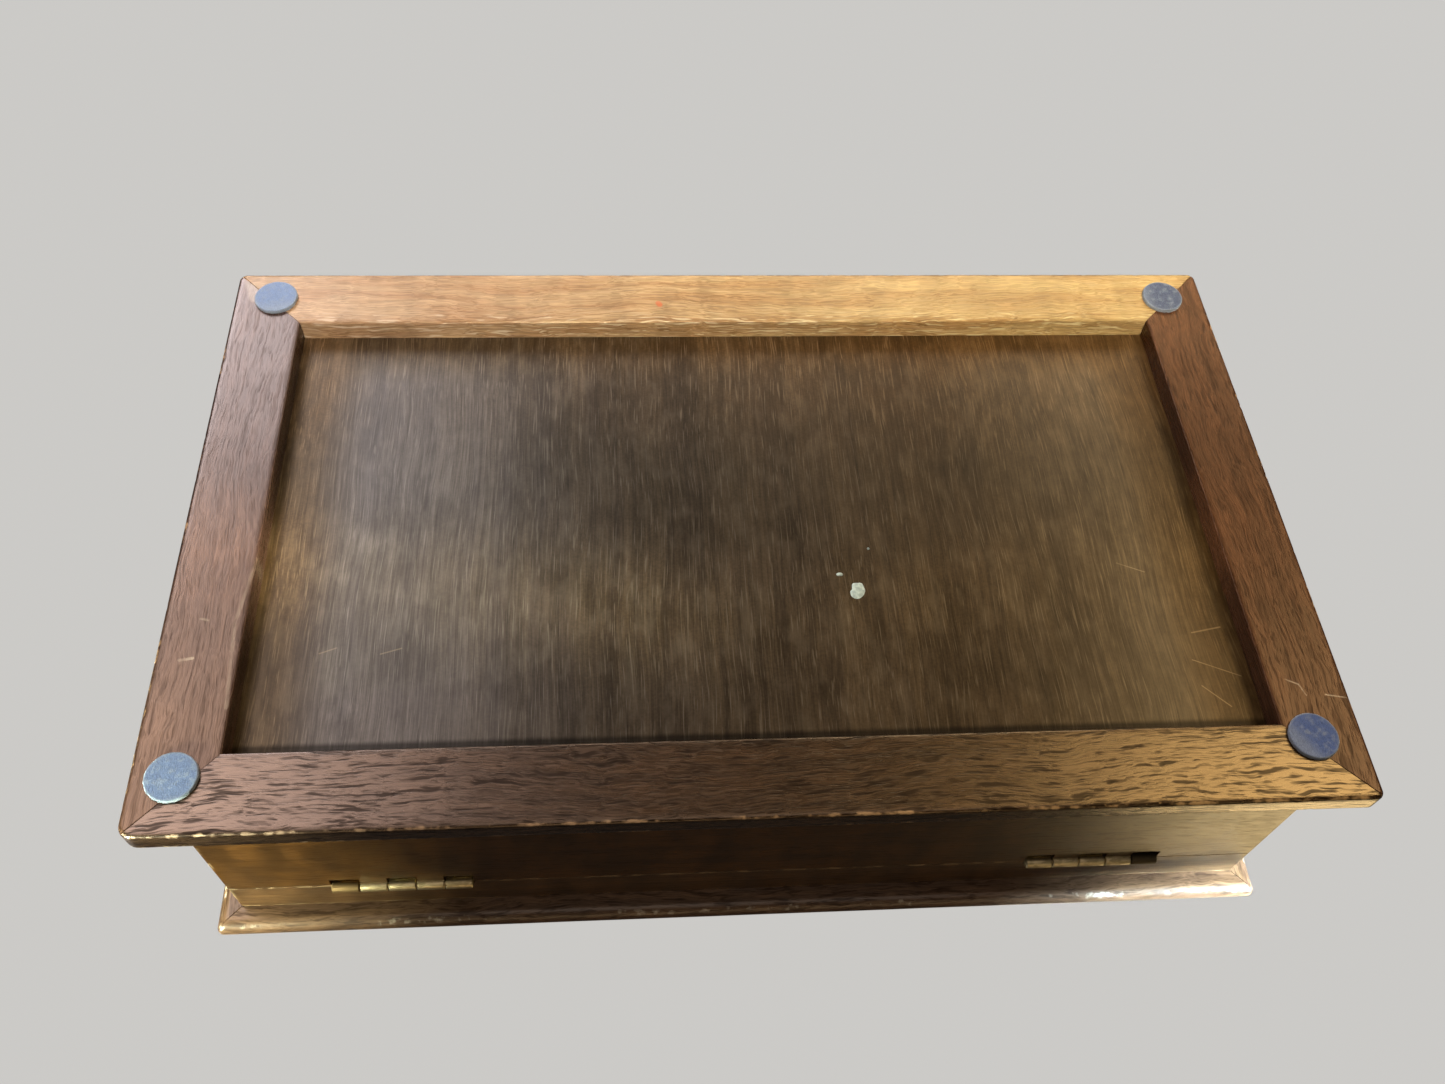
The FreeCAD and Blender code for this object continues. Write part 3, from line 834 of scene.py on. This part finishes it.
PANEL_UNDERSIDE = box_mm("bottom_panel")[0].z
white = paint("white_paint", (0.20, 0.28, 0.29), (0.34, 0.45, 0.46))
PAINT_DROPS = (
    # (centre, radii, how deep its notch is)
    ((27.2, 23), (2.7, 2.4), 0.6),
    ((23.3, 18), (1.0, 0.55), 0.2),
    ((32, 10), (0.35, 0.35), 0.0),
)
for number, (centre, radii, notch) in enumerate(PAINT_DROPS):
    piece = paint_drop(f"paint_drop_{number + 1}", centre, PANEL_UNDERSIDE, radii, notch, number)
    dress(piece, white)
    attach(piece, "box")

# Stage --------------------------------------------------------------------------------------------------


def one_sided(name, tone, matt, glow):
    """Paper seen from one side only. matt is how much light it sends back, glow how much it gives."""
    shader = Shader(name)
    lit = shader.add("ShaderNodeBsdfDiffuse", {"Color": (*(matt * c for c in tone), 1)})
    glowing = shader.add("ShaderNodeEmission", {"Color": (*tone, 1), "Strength": glow})
    front = shader.add("ShaderNodeAddShader", {0: lit, 1: glowing})
    through = shader.add("ShaderNodeBsdfTransparent", {})
    behind = shader.add("ShaderNodeNewGeometry", {}, "Backfacing")
    surface = shader.add("ShaderNodeMixShader", {0: behind, 1: front, 2: through})
    output = shader.tree.nodes.new("ShaderNodeOutputMaterial")
    shader.tree.links.new(surface, output.inputs["Surface"])
    shader.material.cycles.emission_sampling = "NONE"
    return shader.material


def sheet(name, points, material):
    """A wide sheet that only the camera sees, from where its points run anticlockwise."""
    piece = mesh_piece(name, points, [(0, 1, 2, 3)])
    dress(piece, material)
    piece.visible_shadow = False
    piece.visible_diffuse = False
    piece.visible_glossy = False


STAGE_REACH = 2000.0
CEILING = 150.0  # a backdrop for a camera that looks up, and unseen from above
WALL_TOP = 3000.0
STAGE_CORNERS = [(-STAGE_REACH, -STAGE_REACH), (STAGE_REACH, -STAGE_REACH),
                 (STAGE_REACH, STAGE_REACH), (-STAGE_REACH, STAGE_REACH)]
floor_paper = one_sided("floor_paper", (0.80, 0.79, 0.77), 1.0, 0.15)
backdrop_paper = one_sided("backdrop_paper", (0.60, 0.59, 0.57), 0.0, 1.0)
sheet("floor", [(x, y, 0.0) for x, y in STAGE_CORNERS], floor_paper)
sheet("backdrop", [(x, y, CEILING) for x, y in reversed(STAGE_CORNERS)], backdrop_paper)
for number, here in enumerate(STAGE_CORNERS):
    following = STAGE_CORNERS[(number + 1) % len(STAGE_CORNERS)]
    points = [(*here, 0.0), (*here, WALL_TOP), (*following, WALL_TOP), (*following, 0.0)]
    sheet(f"backdrop_side_{number + 1}", points, backdrop_paper)


def softbox(name, place, aim, size, power, tint, spread):
    """An area light at that place in metres, facing the aim."""
    data = bpy.data.lights.new(name, "AREA")
    data.energy = power
    data.color = tint
    data.shape = "RECTANGLE"
    data.size, data.size_y = size
    data.spread = math.radians(spread)
    lamp = bpy.data.objects.new(name, data)
    lamp.location = place
    lamp.rotation_mode = "QUATERNION"
    lamp.rotation_quaternion = (Vector(aim) - Vector(place)).to_track_quat("-Z", "Y")
    lamp.visible_camera = False
    bpy.context.scene.collection.objects.link(lamp)


SOFTBOXES = {
    # name: (place, aim, size, power, tint, spread)
    "left_far": ((-0.45, -0.60, -0.50), (-0.12, -0.05, 0), (0.35, 0.35), 0.38, (1, 0.90, 0.90), 50),
    "left_near": ((-0.40, -0.15, -0.55), (-0.13, 0.06, 0), (0.35, 0.35), 0.24, (1, 0.78, 0.68), 50),
    "right_far": ((0.55, -0.60, -0.50), (0.12, -0.08, 0), (0.35, 0.35), 0.09, (1, 0.70, 0.42), 40),
    "right_near": ((0.50, -0.10, -0.55), (0.13, 0.08, 0), (0.35, 0.35), 0.22, (1, 0.74, 0.40), 40),
    "far_left": ((-0.15, -0.75, -0.50), (-0.08, -0.10, 0), (0.35, 0.35), 0.06, (1, 0.88, 0.75), 30),
    "far_right": ((0.28, -0.75, -0.50), (0.11, -0.10, 0), (0.35, 0.35), 0.10, (1, 0.88, 0.66), 30),
    "near_key": ((0.00, 0.25, -0.75), (0.02, -0.115, 0), (0.42, 0.06), 0.19, (1, 0.88, 0.74), 8),
    "cross_left": ((0.35, 0.10, -0.45), (-0.128, 0.01, 0.005), (0.02, 0.16), 0.035, (1, 0.84, 0.56), 4),
    "cross_right": ((-0.35, 0.10, -0.45), (0.128, 0.01, 0.005), (0.02, 0.16), 0.012, (1, 0.84, 0.60), 4),
    "low_right": ((0.27, 0.22, 0.004), (0.105, 0.086, 0.084), (0.085, 0.01), 0.13, (0.67, 0.87, 1), 8),
    "low_left": ((-0.26, 0.20, 0.004), (-0.150, 0.08, 0.047), (0.06, 0.11), 0.14, (0.88, 0.95, 0.70), 16),
    "table_right": ((0.42, 0.28, 0.50), (0.13, 0.08, 0.04), (0.20, 0.20), 0.65, (0.92, 0.68, 0.34), 180),
    "fill_below": ((-0.05, 0.30, -0.90), (0, 0, 0), (0.8, 0.8), 1.8, (1, 0.82, 0.68), 180),
    "back_fill": ((0.00, 0.90, 0.05), (0, 0.08, 0.05), (0.8, 0.3), 0.11, (1, 0.68, 0.36), 60),
    "back_left": ((-0.40, 0.90, -0.27), (-0.12, 0.085, 0.03), (0.25, 0.15), 0.02, (1, 0.82, 0.52), 40),
    "back_right": ((0.42, 0.85, -0.20), (0.12, 0.085, 0.03), (0.25, 0.15), 0.012, (1, 0.82, 0.52), 40),
    "far_edge": ((0.00, 0.60, -0.35), (0, -0.064, 0.004), (0.30, 0.01), 0.02, (1, 0.84, 0.72), 4),
    "over_front": ((0.5, -0.9, 1.1), (0, 0, 0.04), (0.9, 0.9), 16.0, (1, 0.95, 0.88), 180),
    "over_back": ((-1.2, 0.5, 1.0), (0, 0, 0.04), (0.9, 0.9), 4.0, (1, 0.95, 0.88), 180),
}
for name, settings in SOFTBOXES.items():
    softbox(name, *settings)

world = bpy.data.worlds.new("room")
world.use_nodes = True
world.node_tree.nodes["Background"].inputs["Color"].default_value = (1.0, 0.96, 0.90, 1)
world.node_tree.nodes["Background"].inputs["Strength"].default_value = 0.03
bpy.context.scene.world = world
bpy.context.scene.view_settings.view_transform = "Standard"

# Camera -------------------------------------------------------------------------------------------------

camera = bpy.data.objects.new("camera", bpy.data.cameras.new("camera"))
camera.data.sensor_width = 36.0
camera.data.lens = 31.4
camera.data.clip_start = 0.01
camera.rotation_mode = "QUATERNION"
camera.location = (-0.03174, 0.19535, -0.27121)
tilt = Matrix.Rotation(math.radians(214.04), 3, "X")
turn = Matrix.Rotation(math.radians(-4.19), 3, "Y")
roll = Matrix.Rotation(math.radians(-0.93), 3, "Z")
camera.rotation_quaternion = (tilt @ turn @ roll).to_quaternion()
bpy.context.scene.collection.objects.link(camera)
bpy.context.scene.camera = camera
